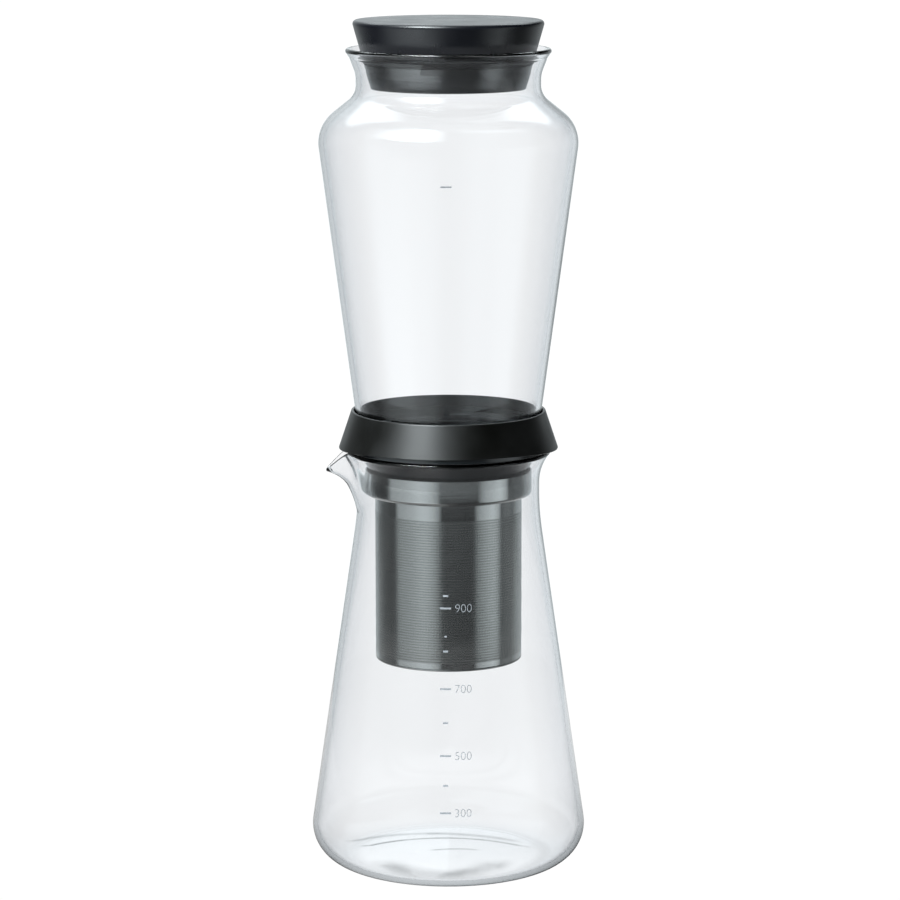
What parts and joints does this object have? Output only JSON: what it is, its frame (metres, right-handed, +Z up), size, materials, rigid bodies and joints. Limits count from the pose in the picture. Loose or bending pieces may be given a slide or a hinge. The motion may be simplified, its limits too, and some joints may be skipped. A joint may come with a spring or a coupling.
{
  "type": "cold brew coffee maker",
  "caption": "Slow-drip cold brew coffee maker: a glass water bowl with a stopper lid stands in a black dripper collar on a spouted glass carafe, with a steel strainer hanging in its neck.",
  "frame": {"origin": "centre of the carafe's foot, on the surface that it stands on", "axes": "+Z up the common axis of all pieces, -X towards the spout's tip, -Y towards the side that carries the printed volume scale"},
  "size_m": [0.117, 0.117, 0.36],
  "materials": {
    "carafe_glass": "clear blown borosilicate glass with a fire-polished rim",
    "bowl_glass": "clear blown borosilicate glass with a fire-polished lip",
    "black_plastic": "moulded black polypropylene, semi-matte",
    "collar_sleeve": "matte black moulded sleeve with a soft grey sheen",
    "lid_plastic": "moulded blue-black polypropylene, satin on the side",
    "silicone": "moulded dark grey silicone",
    "polished_steel": "polished stainless steel sheet",
    "etched_steel": "finely etched stainless steel sheet"
  },
  "bodies": {
    "carafe": {"carafe": "carafe_glass"},
    "strainer": {"strainer_band": "polished_steel", "strainer_basket": "etched_steel", "strainer_foot": "polished_steel", "strainer_floor": "etched_steel"},
    "spreader": {"spreader_plate": "polished_steel"},
    "dripper": {"dripper_frame": "black_plastic", "collar_sleeve": "collar_sleeve", "carafe_seal": "silicone", "bowl_gasket": "silicone", "strainer_seal": "silicone"},
    "bowl": {"water_bowl": "bowl_glass", "drip_nozzle": "silicone"},
    "lid": {"lid_cap": "lid_plastic", "lid_plug": "lid_plastic", "lid_gasket": "silicone"}
  },
  "joints": [
    {"name": "strainer_lift", "type": "slide", "parent": "carafe", "child": "strainer", "axis": [0, 0, 1], "range_m": [0, 0.1]},
    {"name": "spreader_lift", "type": "slide", "parent": "strainer", "child": "spreader", "axis": [0, 0, 1], "range_m": [0, 0.025]},
    {"name": "dripper_lift", "type": "slide", "parent": "spreader", "child": "dripper", "axis": [0, 0, 1], "range_m": [0, 0.025]},
    {"name": "bowl_lift", "type": "slide", "parent": "dripper", "child": "bowl", "axis": [0, 0, 1], "range_m": [0, 0.025]},
    {"name": "lid_lift", "type": "slide", "parent": "bowl", "child": "lid", "axis": [0, 0, 1], "range_m": [0, 0.025]}
  ]
}
